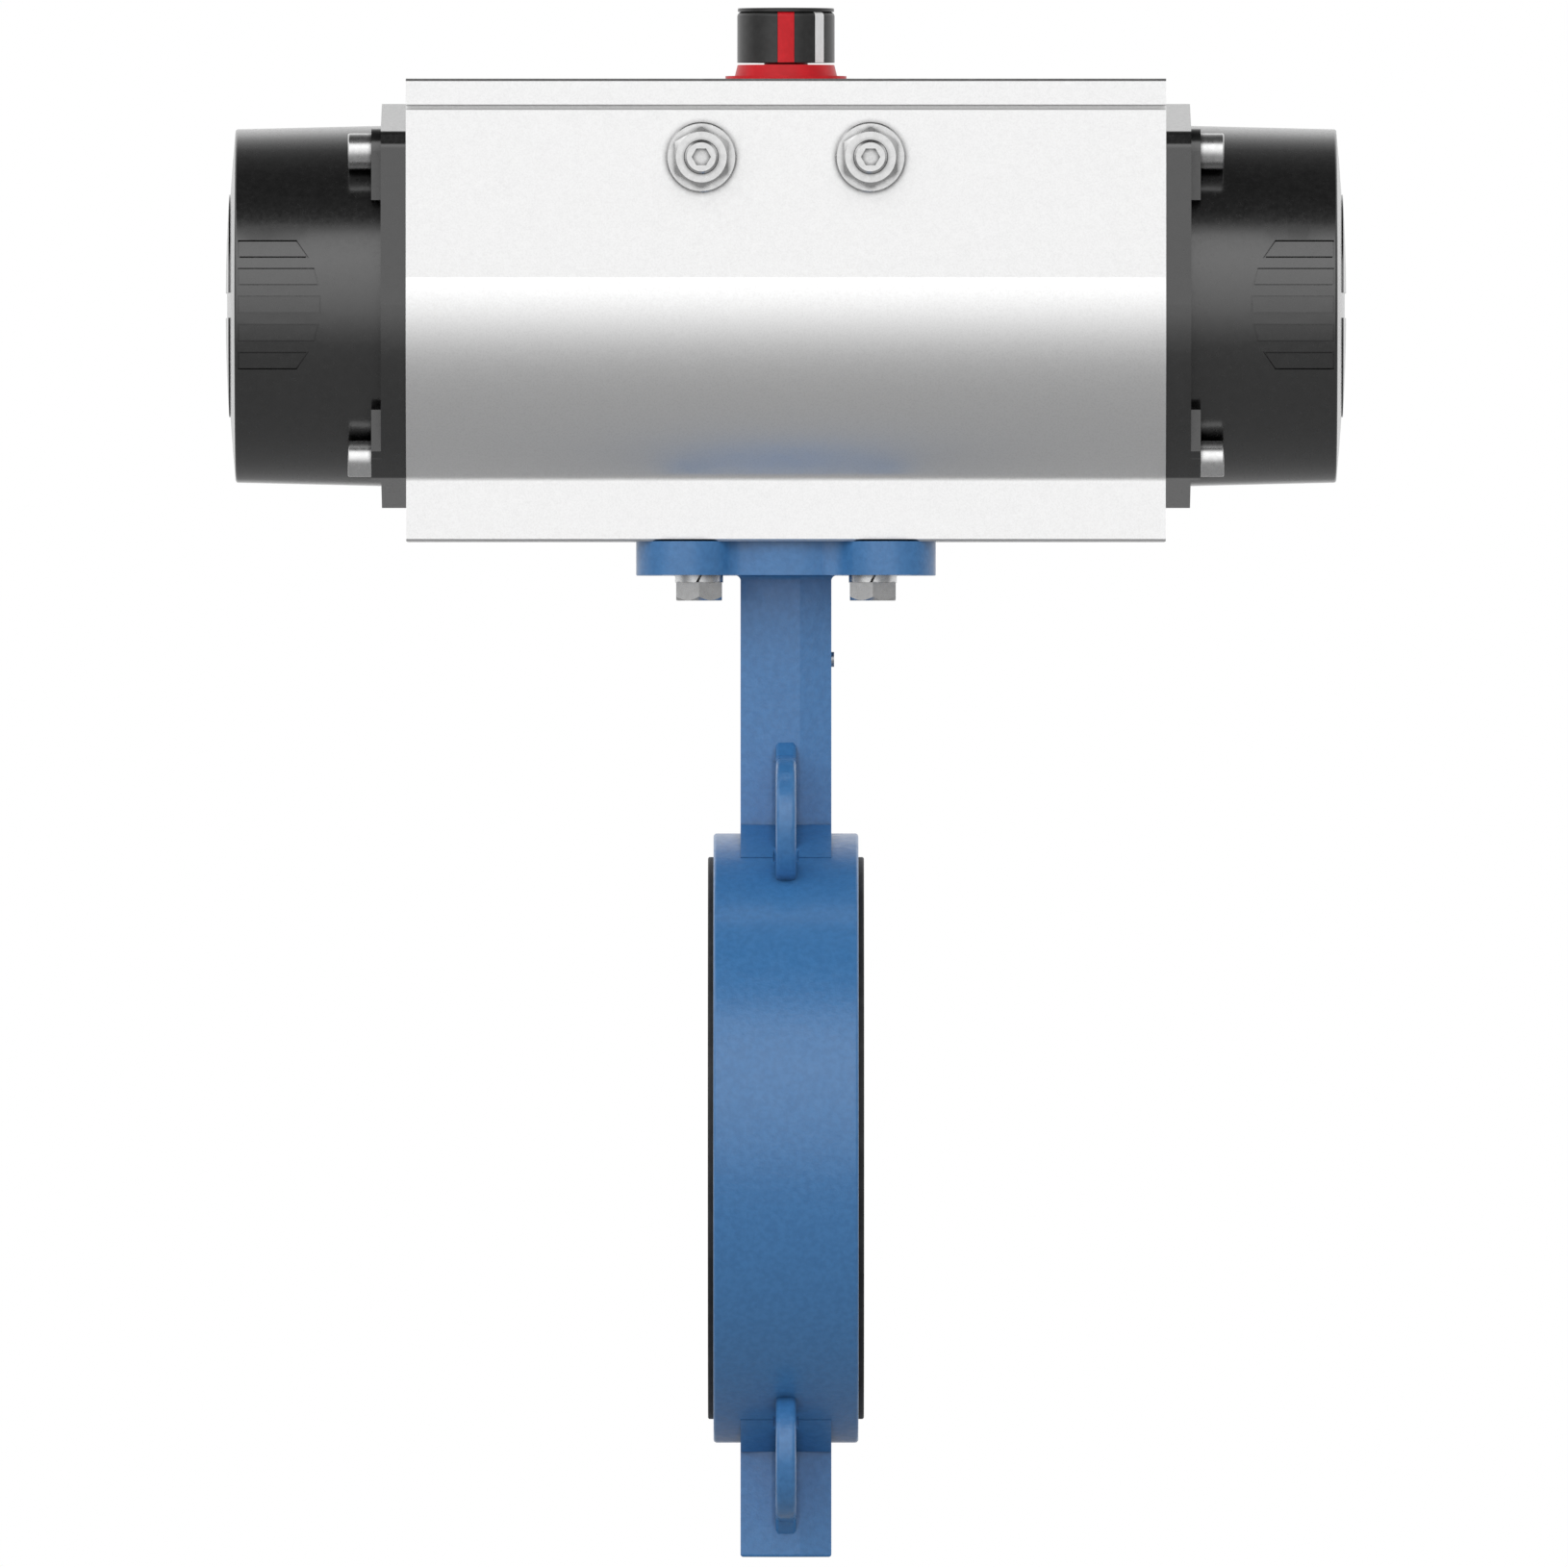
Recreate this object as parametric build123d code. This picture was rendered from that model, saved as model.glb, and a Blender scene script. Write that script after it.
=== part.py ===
from build123d import *
import math
import os

# A wafer butterfly valve with a spring-return rack-and-pinion pneumatic actuator.
# Millimetres. The origin is the disc centre: X is the pipe axis and the actuator's long axis,
# Z is the stem axis, and -Y is the front, where the stop screws are.

# ---- clearances
RUNNING = 0.05          # radial, shafts in bushes
LOOSE = 0.3             # between curved faces that move past each other
SNUG = 0.1              # between curved faces of one assembly

# ---- valve body
PIPE_BORE = 150.0
FACE_TO_FACE = 56.0
LIP = 2.0               # the liner's lips stand this proud of the casting
LIP_D = 202.0
RING_D = 219.0
LINER_WALL = 9.0
RING_EDGE = 1.2
NECK_W = 32.6
NECK_DEPTH = 36.0
NECK_FLAT = 10.0
NECK_FACET_DROP = 2.4
GUSSET_FOOT = (43.0, 101.0)
GUSSET_TOP = 112.6
BOSS_BOTTOM = 150.4
LUG_PCD = 240.0
LUG_ANGLE = 22.5        # from the stem axis
LUG_HOLE_D = 23.0
LUG_R = 23.5
LUG_THICK = 7.2
LUG_SHOULDER = 137.5
LUG_TOP = 143.0
LUG_EDGE = 1.8
NECK_FILLET = 2.0
FLANGE_T = 12.1
ACTUATOR_BASE = 214.3   # top of the flange, and underside of the actuator
F07_PCD = 70.0
F10_PCD = 102.0
FLANGE_LOBE_R = 17.7
FLANGE_CORE_R = 45.0
FLANGE_COVE = 8.0
SLOT_W = 11.0
FLANGE_BOLT_AT = 31.2   # each way from the stem axis

# ---- disc and stems
STEM_D = 20.0
STEM_SQUARE = 14.0
SQUARE_LENGTH = 25.7
BUSH_WALL = 2.0
DISC_RIM_T = 11.0
DISC_HUB_T = 31.0
PIN_D = 8.0
PIN_HEIGHTS = (28.0, 52.0, -54.0)
STEM_IN_DISC = 14.0
LOWER_STEM_TOP = -34.0
RETAINER_DOWN = 30.2    # below the underside of the top flange
RETAINER_D = 5.4
BOSS_FLOOR = 8.0

# ---- actuator body
BORE_D = 125.0
BASE_WALL = 22.2        # body under the bore
TOP_WALL = 18.4         # body over the bore
BODY_HALF = 136.2
SIDE_WALL = 15.9
BULGE_WALL = 16.5
BASE_HALF_W = 50.0
GROOVE_DOWN = 11.2      # groove's foot below the body top
GROOVE_W = 1.9
GROOVE_DEPTH = 1.5
STOP_X = 30.3
CAM_T = 8.0
CAM_DOWN = 13.6         # cam's foot below the bore's crown
STOP_UP_CAM = 3.8       # stop screws above the cam's foot
CAM_R = 35.5
CAM_GAP = 1.5
PORT_PITCH = 24.0
PORT_UP = 39.4
PORT_D = 11.5
PORT_DEPTH = 12.0
NAMUR_X = 32.0
NAMUR_Z = 24.0
ACCESSORY_X = 80.0
ACCESSORY_Y = 30.0
M5_TAP = 4.2

# ---- pinion and racks
MODULE = 3.0
TEETH = 16
PRESSURE = math.radians(20)
BACKLASH = 0.3          # taken off each tooth
FACE_WIDTH = 36.0
RACK_HALF_H = 16.0
JOURNAL_R = 19.0
TOP_JOURNAL_R = 15.0
BEARING_WALL = 2.0
SHAFT_PROUD = 16.1      # pinion shaft above the body top

# ---- pistons
HEAD_IN = 52.0
HEAD_OUT = 82.0
LEG_TIP = 48.0
RACK_PAD_T = 2.6

# ---- end caps
PLATE_T = 9.0
PLATE_OVER = 10.1       # plate's ridge beyond the bore
PLATE_BESIDE = 15.0
SHOULDER_IN = 0.5
CAP_WALL = 7.5
CAP_TAPER = 1.3
CAP_LENGTH = 52.5
CAP_END_WALL = 5.7
CAP_RISE = 3.1
PAD_R = 40.0
PAD_GAP = 9.0
PAD_PROUD = 0.5
CAP_SCREW_OUT = 9.277   # beyond the bore
CAP_SCREW_ANGLE = 50.143
SCREW_SEAT = 3.5
SPIGOT_LENGTH = 12.2

# ---- springs
SPRING_COUNT = 5
SPRING_CIRCLE = 31.0
SPRING_R = 11.0
WIRE_D = 4.0
SPRING_TURNS = 8

# ---- indicator
IND_FLANGE_R = 21.75
IND_CONE_LOW = 18.45
IND_CONE_TOP = 17.4
IND_R = 17.5
IND_HUB_R = 7.85
IND_CONE_UP = 5.7       # above the body top
IND_GAP = 0.8
IND_SHELL_H = 18.3
IND_LID_T = 1.3
RED_W = 5.9
WHITE_W = 4.3
WHITE_ANGLE = 44.0

# ---- places that follow
BORE_R = BORE_D / 2
BORE_UP = BORE_R + BASE_WALL
TOP_UP = BORE_R + TOP_WALL
BODY_HALF_W = BORE_R + SIDE_WALL
BULGE_R = BORE_R + BULGE_WALL
PLATE_HALF_H = BORE_R + PLATE_OVER
PLATE_HALF_W = BORE_R + PLATE_BESIDE
PLATE_SHOULDER = BORE_R - SHOULDER_IN
CAP_SCREW_Y = (BORE_R + CAP_SCREW_OUT) * math.cos(math.radians(CAP_SCREW_ANGLE))
CAP_SCREW_UP = (BORE_R + CAP_SCREW_OUT) * math.sin(math.radians(CAP_SCREW_ANGLE))
CAM_UP = BORE_R - CAM_DOWN
STOP_UP = CAM_UP + STOP_UP_CAM
CAVITY_R = BORE_R - CAP_WALL
CAP_R_IN = BORE_R + 2.3
CAP_R_OUT = CAP_R_IN - CAP_TAPER
DOME_R = (CAP_R_OUT ** 2 + CAP_RISE ** 2) / (2 * CAP_RISE)
PLATE_END = BODY_HALF + PLATE_T
CAP_END = PLATE_END + CAP_LENGTH
SPIGOT_IN = BODY_HALF - SPIGOT_LENGTH
SPRING_FLOOR = CAP_END - CAP_END_WALL
BORE_Z = ACTUATOR_BASE + BORE_UP
BODY_TOP = BORE_Z + TOP_UP
GROOVE_Z = BODY_TOP - GROOVE_DOWN
PORT_Z = BORE_Z + PORT_UP
STEM_TOP = ACTUATOR_BASE + SQUARE_LENGTH
SHAFT_TOP = BODY_TOP + SHAFT_PROUD
IND_CONE_Z = BODY_TOP + IND_CONE_UP
IND_SHELL_TOP = IND_CONE_Z + IND_GAP + IND_SHELL_H
IND_TOP = IND_SHELL_TOP + IND_LID_T
RETAINER_Z = ACTUATOR_BASE - FLANGE_T - RETAINER_DOWN

os.makedirs("parts", exist_ok=True)


def save(name, *solids):
    shape = solids[0] if len(solids) == 1 else Compound(children=list(solids))
    export_step(shape, f"parts/{name}.step")


def span(low, high):
    return (low + high) / 2, high - low


def rod_x(r, x0, x1, y=0.0, z=0.0):
    mid, length = span(min(x0, x1), max(x0, x1))
    return Pos(mid, y, z) * Rot(0, 90, 0) * Cylinder(r, length)


def rod_y(r, y0, y1, x=0.0, z=0.0):
    mid, length = span(min(y0, y1), max(y0, y1))
    return Pos(x, mid, z) * Rot(90, 0, 0) * Cylinder(r, length)


def rod_z(r, z0, z1, x=0.0, y=0.0):
    mid, length = span(min(z0, z1), max(z0, z1))
    return Pos(x, y, mid) * Cylinder(r, length)


def ring_x(r_in, r_out, x0, x1, z=0.0):
    return rod_x(r_out, x0, x1, 0, z) - rod_x(r_in, min(x0, x1) - 1, max(x0, x1) + 1, 0, z)


def ring_z(r_in, r_out, z0, z1, x=0.0, y=0.0):
    return rod_z(r_out, z0, z1, x, y) - rod_z(r_in, z0 - 1, z1 + 1, x, y)


def block(x0, x1, y0, y1, z0, z1):
    return Pos((x0 + x1) / 2, (y0 + y1) / 2, (z0 + z1) / 2) * Box(abs(x1 - x0), abs(y1 - y0), abs(z1 - z0))


def extrude_x(face, x0, x1):
    # a face drawn with its own X along world Y and its own Y along world Z
    placed = Plane(origin=(min(x0, x1), 0, 0), x_dir=(0, 1, 0), z_dir=(1, 0, 0)) * face
    return extrude(placed, abs(x1 - x0))


def extrude_z(face, z0, z1):
    return extrude(Pos(0, 0, z0) * face, z1 - z0)


def outline(*points):
    return make_face(Polyline(*points, close=True))


def mirrored(shape, plane):
    return mirror(shape, about=plane)


def round_edges(shape, radius, keep):
    return fillet([e for e in shape.edges() if keep(e)], radius)


def is_circle(edge, radius):
    return edge.geom_type == GeomType.CIRCLE and abs(edge.radius - radius) < 0.01


def hexagon(across_flats):
    return RegularPolygon(across_flats / 2, 6, major_radius=False)


# ---- valve body

CASTING_HALF = FACE_TO_FACE / 2 - LIP
FLANGE_BOTTOM = ACTUATOR_BASE - FLANGE_T
NECK_BORE_R = STEM_D / 2 + RUNNING + BUSH_WALL + RUNNING
BUSH_R = STEM_D / 2 + RUNNING + BUSH_WALL
LINER_R = PIPE_BORE / 2 + LINER_WALL
LUG_Y = LUG_PCD / 2 * math.sin(math.radians(LUG_ANGLE))
LUG_Z = LUG_PCD / 2 * math.cos(math.radians(LUG_ANGLE))
F10_AT = F10_PCD / 2 * math.sqrt(0.5)
F07_AT = F07_PCD / 2 * math.sqrt(0.5)
REGISTER_R = 27.5
REGISTER_DEPTH = 3.0
BOSS_BORE_END = -(BOSS_BOTTOM - BOSS_FLOOR)
QUARTERS = [(sx, sy) for sx in (1, -1) for sy in (1, -1)]
STANDING = (Align.CENTER, Align.CENTER, Align.MIN)


def neck_section():
    flat = NECK_FLAT / 2
    side = NECK_W / 2
    front = NECK_DEPTH / 2
    edge = front - NECK_FACET_DROP
    return outline(
        (-flat, -front), (flat, -front), (side, -edge), (side, edge),
        (flat, front), (-flat, front), (-side, edge), (-side, -edge),
    )


def lug_plate():
    # a plate across the neck with an ear each side, its rim rounded
    ear_y = LUG_Y + 0.6
    ear_z = LUG_Z + 2
    front = NECK_DEPTH / 2
    web = outline(
        (-ear_y, ear_z + LUG_R), (-front - 5, LUG_SHOULDER), (-front + 1, LUG_TOP), (front - 1, LUG_TOP),
        (front + 5, LUG_SHOULDER), (ear_y, ear_z + LUG_R), (ear_y, LUG_Z - 20), (-ear_y, LUG_Z - 20),
    )
    plate = extrude_x(web, -LUG_THICK / 2, LUG_THICK / 2)
    over_ears = ear_z + LUG_R - 1
    top = [e for e in plate.edges() if e.center().Z > over_ears and abs(e.center().X) > LUG_THICK / 4]
    plate = chamfer(top, LUG_EDGE / 2)
    for side in (1, -1):
        ear = rod_x(LUG_R, -LUG_THICK / 2, LUG_THICK / 2, side * ear_y, ear_z)
        plate += round_edges(ear, LUG_EDGE, lambda e: is_circle(e, LUG_R))
    return plate


def gusset():
    foot_y, foot_z = GUSSET_FOOT
    top_y = NECK_DEPTH / 2
    profile = outline(
        (-foot_y, foot_z), (-top_y, GUSSET_TOP), (top_y, GUSSET_TOP), (foot_y, foot_z),
        (foot_y - 8, 88), (8 - foot_y, 88),
    )
    return extrude_x(profile, -NECK_W / 2, NECK_W / 2)


def top_flange():
    lobes = [Pos(sx * F10_AT, sy * F10_AT) * Circle(FLANGE_LOBE_R) for sx, sy in QUARTERS]
    plate = Circle(FLANGE_CORE_R) + lobes
    plate = fillet(plate.vertices(), FLANGE_COVE)
    mid = (F10_AT + F07_AT) / 2
    length = (F10_AT - F07_AT) * math.sqrt(2) + SLOT_W
    for sx, sy in QUARTERS:
        plate -= Pos(sx * mid, sy * mid) * Rot(0, 0, 45 * sx * sy) * SlotOverall(length, SLOT_W)
    solid = extrude_z(plate, FLANGE_BOTTOM, ACTUATOR_BASE)
    return solid - rod_z(REGISTER_R, ACTUATOR_BASE - REGISTER_DEPTH, ACTUATOR_BASE + 1)


def under_flange(edge):
    low, high = edge.bounding_box().min, edge.bounding_box().max
    level = abs(low.Z - FLANGE_BOTTOM) < 0.01 and abs(high.Z - FLANGE_BOTTOM) < 0.01
    middle = edge.center()
    return level and abs(middle.X) <= NECK_W / 2 + 0.01 and abs(middle.Y) <= NECK_DEPTH / 2 + 0.01


def make_valve_body():
    ring = rod_x(RING_D / 2, -CASTING_HALF, CASTING_HALF)
    ring = round_edges(ring, RING_EDGE, lambda e: is_circle(e, RING_D / 2))
    neck = extrude_z(neck_section(), RING_D / 2 - 15, FLANGE_BOTTOM)
    boss = extrude_z(neck_section(), -BOSS_BOTTOM, 15 - RING_D / 2)
    boss = round_edges(boss, 1.0, lambda e: abs(e.center().Z + BOSS_BOTTOM) < 0.01)
    lugs = lug_plate()
    rib = gusset()
    body = ring + neck + boss + top_flange() + lugs + mirrored(lugs, Plane.XY) + rib + mirrored(rib, Plane.XY)
    body = fillet([e for e in body.edges() if under_flange(e)], NECK_FILLET)
    body -= rod_x(LINER_R + SNUG, -CASTING_HALF - 1, CASTING_HALF + 1)
    body -= rod_z(NECK_BORE_R, 60, ACTUATOR_BASE + 1)
    body -= rod_z(NECK_BORE_R, BOSS_BORE_END, -60)
    body -= rod_x(RETAINER_D / 2 + SNUG, NECK_BORE_R - 3, NECK_W, 0, RETAINER_Z)
    for side in (1, -1):
        for end in (1, -1):
            body -= rod_x(LUG_HOLE_D / 2, -LUG_THICK / 2 - 1, LUG_THICK / 2 + 1, side * LUG_Y, end * LUG_Z)
    return body


def make_seat_liner():
    half = FACE_TO_FACE / 2
    liner = rod_x(LINER_R, -half, half)
    for side in (1, -1):
        lip = rod_x(LIP_D / 2, side * CASTING_HALF, side * half)
        lip = round_edges(lip, 0.7, lambda e: is_circle(e, LIP_D / 2) and abs(abs(e.center().X) - half) < 0.01)
        liner += lip
        for rib_r in (88.0, 94.0):
            liner -= ring_x(rib_r - 1, rib_r + 1, side * (half - 0.5), side * (half + 1))
    liner -= rod_x(PIPE_BORE / 2, -half - 1, half + 1)
    return liner - rod_z(STEM_D / 2 + LOOSE, -RING_D, RING_D)


# ---- disc, stems and what holds them

DISC_R = PIPE_BORE / 2 - LOOSE
GROOVE_R = STEM_D / 2 - 1.5
CLIP_GROOVE_R = STEM_D / 2 - 0.7
CIRCLIP_Z = FLANGE_BOTTOM - 1.8
BUSH_LENGTH = 24.0
BUSH_START = LINER_R + 4
UPPER_BUSH = (RETAINER_Z + 6, CIRCLIP_Z - 2.4)


def make_disc():
    rim = DISC_RIM_T / 2
    hub = DISC_HUB_T / 2
    profile = outline(
        (-rim, -32), (-hub, -10), (-hub, 10), (-rim, 32),
        (rim, 32), (hub, 10), (hub, -10), (rim, -32),
    )
    profile = fillet(profile.vertices(), 5)
    disc = extrude_z(profile, -PIPE_BORE, PIPE_BORE) + rod_x(PIPE_BORE, -rim, rim)
    disc = disc & Sphere(DISC_R)
    disc -= rod_z(STEM_D / 2 + RUNNING, STEM_IN_DISC - 2, PIPE_BORE)
    disc -= rod_z(STEM_D / 2 + RUNNING, -PIPE_BORE, LOWER_STEM_TOP + 2)
    for z in PIN_HEIGHTS:
        disc -= rod_x(PIN_D / 2 + RUNNING, -DISC_HUB_T, DISC_HUB_T, 0, z)
    return disc


def make_upper_stem():
    stem = rod_z(STEM_D / 2, STEM_IN_DISC, ACTUATOR_BASE + 0.5)
    half = STEM_SQUARE / 2
    square = block(-half, half, -half, half, ACTUATOR_BASE, STEM_TOP)
    stem += chamfer(square.faces().sort_by(Axis.Z)[-1].edges(), 1)
    stem -= ring_z(GROOVE_R, STEM_D, RETAINER_Z - RETAINER_D / 2 - LOOSE, RETAINER_Z + RETAINER_D / 2 + LOOSE)
    stem -= ring_z(CLIP_GROOVE_R, STEM_D, CIRCLIP_Z, CIRCLIP_Z + 1.4)
    for z in PIN_HEIGHTS[:2]:
        stem -= rod_x(PIN_D / 2 + RUNNING, -STEM_D, STEM_D, 0, z)
    return stem


def make_lower_stem():
    bottom = BOSS_BORE_END + 4.0 + LOOSE
    stem = rod_z(STEM_D / 2, bottom, LOWER_STEM_TOP)
    stem = chamfer(stem.faces().sort_by(Axis.Z)[0].edges(), 1)
    return stem - rod_x(PIN_D / 2 + RUNNING, -STEM_D, STEM_D, 0, PIN_HEIGHTS[2])


def seal_ring_z(r_in, r_out, z):
    r = (r_out - r_in) / 2
    return Pos(0, 0, z) * Torus((r_out + r_in) / 2, r)


def make_valve_fittings():
    lengths = {
        "lower_neck_bush": (BUSH_START, BUSH_START + BUSH_LENGTH),
        "upper_neck_bush": UPPER_BUSH,
        "bottom_bush": (-BUSH_START - BUSH_LENGTH, -BUSH_START),
    }
    for name, (low, high) in lengths.items():
        save(name, ring_z(STEM_D / 2 + RUNNING, BUSH_R, low, high))
    seal_heights = (BUSH_START + BUSH_LENGTH + 2, UPPER_BUSH[0] - 1.1)
    save("stem_seals", *[seal_ring_z(STEM_D / 2 + LOOSE, BUSH_R - 0.03, z) for z in seal_heights])
    circlip = ring_z(CLIP_GROOVE_R + SNUG, BUSH_R - 0.35, CIRCLIP_Z + 0.1, CIRCLIP_Z + 1.3)
    circlip -= block(-3, 3, STEM_D / 4, STEM_D, CIRCLIP_Z, CIRCLIP_Z + 2)
    save("stem_circlip", circlip)
    save("stem_retaining_pin", rod_x(RETAINER_D / 2, GROOVE_R + LOOSE, NECK_W / 2 + 1, 0, RETAINER_Z))
    save("bottom_thrust_pad", rod_z(BUSH_R - 0.3, BOSS_BORE_END, BOSS_BORE_END + 4))
    half = DISC_HUB_T / 2
    save("disc_pins", *[rod_x(PIN_D / 2, -half, half, 0, z) for z in PIN_HEIGHTS])
    register = ring_z(23.5, REGISTER_R - 0.2, ACTUATOR_BASE - REGISTER_DEPTH, ACTUATOR_BASE + REGISTER_DEPTH - 0.2)
    save("centring_ring", register)


WASHER_T = 2.6
M10_HEAD = 6.4


def flange_bolt():
    head_top = FLANGE_BOTTOM - WASHER_T
    head = extrude_z(Rot(0, 0, 30) * hexagon(16.4), head_top - M10_HEAD, head_top)
    cone = Pos(0, 0, head_top - M10_HEAD) * Cone(8.2, 14.6, M10_HEAD, align=STANDING)
    return (head & cone) + rod_z(5, head_top - 0.5, ACTUATOR_BASE + 14)


def spring_washer():
    washer = ring_z(5.3, 8.6, FLANGE_BOTTOM - WASHER_T, FLANGE_BOTTOM)
    slit = Rot(0, 25, 0) * Box(0.9, 8, 12)
    return washer - Pos(0, -7, FLANGE_BOTTOM - WASHER_T / 2) * slit


def make_flange_fasteners():
    spots = [Pos(sx * FLANGE_BOLT_AT, sy * FLANGE_BOLT_AT, 0) for sx, sy in QUARTERS]
    save("flange_bolts", *[spot * flange_bolt() for spot in spots])
    save("flange_spring_washers", *[spot * spring_washer() for spot in spots])


# ---- actuator body

STOP_Z = BORE_Z + STOP_UP
CAM_Z = BORE_Z + CAM_UP
STOP_TIP = 12.0
TAP_R = 6.15
LOW_BORE_R = JOURNAL_R + BEARING_WALL + RUNNING
TOP_BORE_R = TOP_JOURNAL_R + BEARING_WALL + RUNNING
COUNTERBORE_R = 20.0
COUNTERBORE_DEPTH = 5.0
GALLERY = (61.0, PORT_Z + 7.5)
GALLERY_R = 2.5
CAP_SCREWS = [(sy * CAP_SCREW_Y, BORE_Z + sz * CAP_SCREW_UP) for sy, sz in QUARTERS]


def bulge_y(z):
    return math.sqrt(BULGE_R ** 2 - (z - BORE_Z) ** 2)


def body_section():
    flat_low = BORE_Z + math.sqrt(BULGE_R ** 2 - BODY_HALF_W ** 2)
    foot = BORE_Z - math.sqrt(BULGE_R ** 2 - BASE_HALF_W ** 2)
    with BuildSketch() as sketch:
        with BuildLine():
            for side in (1, -1):
                Line((0, BODY_TOP), (side * BODY_HALF_W, BODY_TOP))
                Line((side * BODY_HALF_W, BODY_TOP), (side * BODY_HALF_W, flat_low))
                ThreePointArc(
                    (side * BODY_HALF_W, flat_low),
                    (side * bulge_y(BORE_Z - 30), BORE_Z - 30),
                    (side * BASE_HALF_W, foot),
                )
                Line((side * BASE_HALF_W, foot), (side * BASE_HALF_W, ACTUATOR_BASE))
                Line((side * BASE_HALF_W, ACTUATOR_BASE), (0, ACTUATOR_BASE))
        make_face()
        fillet([v for v in sketch.vertices() if abs(v.Y - foot) < 0.01], 4)
        chamfer([v for v in sketch.vertices() if abs(v.Y - BODY_TOP) < 0.01], 0.9)
        chamfer([v for v in sketch.vertices() if abs(v.Y - ACTUATOR_BASE) < 0.01], 0.8)
    return sketch.sketch


def make_actuator_body():
    body = extrude_x(body_section(), -BODY_HALF, BODY_HALF)
    for side in (1, -1):
        edge = side * BODY_HALF_W
        body -= block(-BODY_HALF - 1, BODY_HALF + 1, edge - side * GROOVE_DEPTH, edge + side,
                      GROOVE_Z, GROOVE_Z + GROOVE_W)
    body -= rod_x(BORE_R, -BODY_HALF - 1, BODY_HALF + 1, 0, BORE_Z)
    body -= rod_z(LOW_BORE_R, ACTUATOR_BASE - 1, BORE_Z)
    body -= rod_z(REGISTER_R, ACTUATOR_BASE - 1, ACTUATOR_BASE + REGISTER_DEPTH)
    body -= rod_z(TOP_BORE_R, BORE_Z, BODY_TOP + 1)
    body -= rod_z(COUNTERBORE_R, BODY_TOP - COUNTERBORE_DEPTH, BODY_TOP + 1)
    body -= rod_z(CAM_R + CAM_GAP, BORE_Z + 40, CAM_Z + CAM_T + 2)
    for sx, sy in QUARTERS:
        body -= rod_z(5.1, ACTUATOR_BASE - 1, ACTUATOR_BASE + 16, sx * FLANGE_BOLT_AT, sy * FLANGE_BOLT_AT)
        body -= rod_z(M5_TAP / 2, BODY_TOP - 10, BODY_TOP + 1, sx * ACCESSORY_X / 2, sy * ACCESSORY_Y / 2)
        body -= rod_y(M5_TAP / 2, BODY_HALF_W - 10, BODY_HALF_W + 1, sx * NAMUR_X / 2, PORT_Z + sy * NAMUR_Z / 2)
    for x in (STOP_X, -STOP_X):
        body -= rod_y(TAP_R, -BODY_HALF_W - 1, -STOP_TIP + 1, x, STOP_Z)
    gallery_y, gallery_z = GALLERY
    left_port, right_port = -PORT_PITCH / 2, PORT_PITCH / 2
    for x in (left_port, right_port):
        body -= rod_y(PORT_D / 2, BODY_HALF_W - PORT_DEPTH, BODY_HALF_W + 1, x, PORT_Z)
    body -= rod_y(3, 0, BODY_HALF_W - PORT_DEPTH + 1, right_port, PORT_Z)
    body -= rod_y(3, gallery_y, BODY_HALF_W - PORT_DEPTH + 1, left_port, PORT_Z)
    body -= rod_z(GALLERY_R, PORT_Z, gallery_z, left_port, gallery_y)
    body -= rod_x(GALLERY_R, -BODY_HALF - 1, BODY_HALF + 1, gallery_y, gallery_z)
    for y, z in CAP_SCREWS:
        for side in (1, -1):
            body -= rod_x(4.1, side * (BODY_HALF - 22), side * (BODY_HALF + 1), y, z)
    return body


# ---- pinion, cam and bearings

PITCH_R = MODULE * TEETH / 2
ROOT_R = PITCH_R - 1.25 * MODULE
TIP_R = PITCH_R + MODULE
BASE_R = PITCH_R * math.cos(PRESSURE)
PINION_FOOT = ACTUATOR_BASE + 1.2
LOW_SHOULDER = BORE_Z - BORE_R + 0.5
THRUST_Z = BODY_TOP - COUNTERBORE_DEPTH
SEAL_DEEP = 1.8
CLIP_DEEP = 1.2
SHOULDER_R = 12.0
SHOULDER_UP = 3.1
SHAFT_R = 6.5
SCREW_R = 2.5


def involute(angle):
    return math.tan(angle) - angle


def flank_point(radius):
    # half the tooth's angle at this radius
    half_at_pitch = (math.pi * MODULE / 2 - BACKLASH) / 2 / PITCH_R
    roll = math.acos(min(1.0, BASE_R / radius))
    half = half_at_pitch + involute(PRESSURE) - involute(roll)
    return radius * math.cos(half), radius * math.sin(half)


def pinion_tooth():
    base = flank_point(BASE_R)
    middle = flank_point((BASE_R + TIP_R) / 2)
    tip = flank_point(TIP_R)
    root = (ROOT_R - 1) / BASE_R
    with BuildSketch() as sketch:
        with BuildLine():
            Line((base[0] * root, -base[1] * root), (base[0] * root, base[1] * root))
            for side in (1, -1):
                Line((base[0] * root, side * base[1] * root), (base[0], side * base[1]))
                ThreePointArc((base[0], side * base[1]), (middle[0], side * middle[1]), (tip[0], side * tip[1]))
            ThreePointArc((tip[0], -tip[1]), (TIP_R, 0), tip)
        make_face()
    return sketch.sketch


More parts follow.
